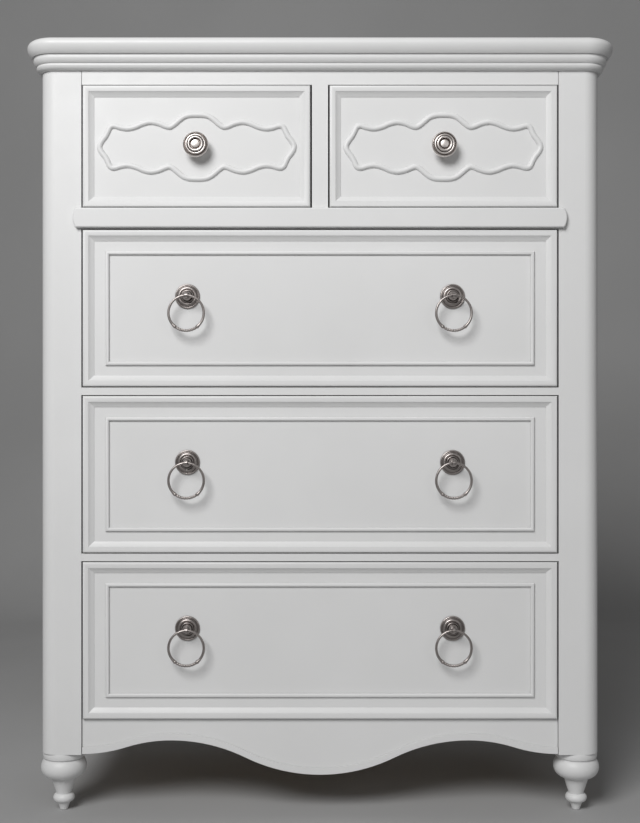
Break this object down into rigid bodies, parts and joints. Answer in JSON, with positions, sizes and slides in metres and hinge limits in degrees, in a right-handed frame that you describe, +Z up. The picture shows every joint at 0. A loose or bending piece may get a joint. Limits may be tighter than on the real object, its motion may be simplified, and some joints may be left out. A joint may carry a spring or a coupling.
{
  "type": "tall chest of drawers",
  "caption": "White painted tall chest with small carved drawers over wide ring-pull drawers, moulded cornice, wavy apron and turned feet.",
  "frame": {"origin": "centre of the bounding box in X and Y, on the floor under the feet", "axes": "+X to the right of someone facing the front, +Y to the back, +Z up"},
  "size_m": [0.9962, 0.4772, 1.3066],
  "materials": {
    "painted_wood": "satin white paint on wood",
    "drawer_wood": "clear lacquered hardwood",
    "plywood": "thin plywood",
    "antique_pewter": "antique pewter plate",
    "satin_nickel": "satin nickel plate",
    "zinc_steel": "zinc plated"
  },
  "bodies": {
    "case": {"top_board": "painted_wood", "cornice_moulding": "painted_wood", "left_front_post": "painted_wood", "right_front_post": "painted_wood", "rear_posts": "painted_wood", "left_side_panel": "painted_wood", "right_side_panel": "painted_wood", "back_panel": "plywood", "top_rail": "painted_wood", "centre_stile": "painted_wood", "waist_band": "painted_wood", "apron": "painted_wood", "apron_bead": "painted_wood", "cross_rails": "painted_wood", "drawer_runners": "drawer_wood", "feet": "painted_wood", "foot_bolts": "zinc_steel"},
    "top_left_drawer": {"top_left_front": "painted_wood", "top_left_moulding": "painted_wood", "top_left_sides": "drawer_wood", "top_left_back": "drawer_wood", "top_left_bottom": "plywood", "top_left_guide": "drawer_wood", "top_left_carving": "painted_wood", "top_left_knob": "satin_nickel"},
    "top_right_drawer": {"top_right_front": "painted_wood", "top_right_moulding": "painted_wood", "top_right_sides": "drawer_wood", "top_right_back": "drawer_wood", "top_right_bottom": "plywood", "top_right_guide": "drawer_wood", "top_right_carving": "painted_wood", "top_right_knob": "satin_nickel"},
    "lower_drawer": {"lower_front": "painted_wood", "lower_moulding": "painted_wood", "lower_sides": "drawer_wood", "lower_back": "drawer_wood", "lower_bottom": "plywood", "lower_guide": "drawer_wood", "lower_rosettes": "antique_pewter"},
    "lower_left_ring": {"lower_left_ring": "antique_pewter"},
    "lower_right_ring": {"lower_right_ring": "antique_pewter"},
    "middle_drawer": {"middle_front": "painted_wood", "middle_moulding": "painted_wood", "middle_sides": "drawer_wood", "middle_back": "drawer_wood", "middle_bottom": "plywood", "middle_guide": "drawer_wood", "middle_rosettes": "antique_pewter"},
    "middle_left_ring": {"middle_left_ring": "antique_pewter"},
    "middle_right_ring": {"middle_right_ring": "antique_pewter"},
    "upper_drawer": {"upper_front": "painted_wood", "upper_moulding": "painted_wood", "upper_sides": "drawer_wood", "upper_back": "drawer_wood", "upper_bottom": "plywood", "upper_guide": "drawer_wood", "upper_rosettes": "antique_pewter"},
    "upper_left_ring": {"upper_left_ring": "antique_pewter"},
    "upper_right_ring": {"upper_right_ring": "antique_pewter"}
  },
  "joints": [
    {"name": "top_left_slide", "type": "slide", "parent": "case", "child": "top_left_drawer", "axis": [0, -1, 0], "range_m": [0, 0.3]},
    {"name": "top_right_slide", "type": "slide", "parent": "case", "child": "top_right_drawer", "axis": [0, -1, 0], "range_m": [0, 0.3]},
    {"name": "lower_slide", "type": "slide", "parent": "case", "child": "lower_drawer", "axis": [0, -1, 0], "range_m": [0, 0.3]},
    {"name": "lower_left_ring_swing", "type": "hinge", "parent": "lower_drawer", "child": "lower_left_ring", "pos_m": [-0.2236, -0.23245, 0.3151], "axis": [-1, 0, 0], "range_deg": [-14, 150]},
    {"name": "lower_right_ring_swing", "type": "hinge", "parent": "lower_drawer", "child": "lower_right_ring", "pos_m": [0.2236, -0.23245, 0.3151], "axis": [-1, 0, 0], "range_deg": [-14, 150]},
    {"name": "middle_slide", "type": "slide", "parent": "case", "child": "middle_drawer", "axis": [0, -1, 0], "range_m": [0, 0.3]},
    {"name": "middle_left_ring_swing", "type": "hinge", "parent": "middle_drawer", "child": "middle_left_ring", "pos_m": [-0.2236, -0.23245, 0.5951], "axis": [-1, 0, 0], "range_deg": [-14, 150]},
    {"name": "middle_right_ring_swing", "type": "hinge", "parent": "middle_drawer", "child": "middle_right_ring", "pos_m": [0.2236, -0.23245, 0.5951], "axis": [-1, 0, 0], "range_deg": [-14, 150]},
    {"name": "upper_slide", "type": "slide", "parent": "case", "child": "upper_drawer", "axis": [0, -1, 0], "range_m": [0, 0.3]},
    {"name": "upper_left_ring_swing", "type": "hinge", "parent": "upper_drawer", "child": "upper_left_ring", "pos_m": [-0.2236, -0.23245, 0.8751], "axis": [-1, 0, 0], "range_deg": [-14, 150]},
    {"name": "upper_right_ring_swing", "type": "hinge", "parent": "upper_drawer", "child": "upper_right_ring", "pos_m": [0.2236, -0.23245, 0.8751], "axis": [-1, 0, 0], "range_deg": [-14, 150]}
  ]
}
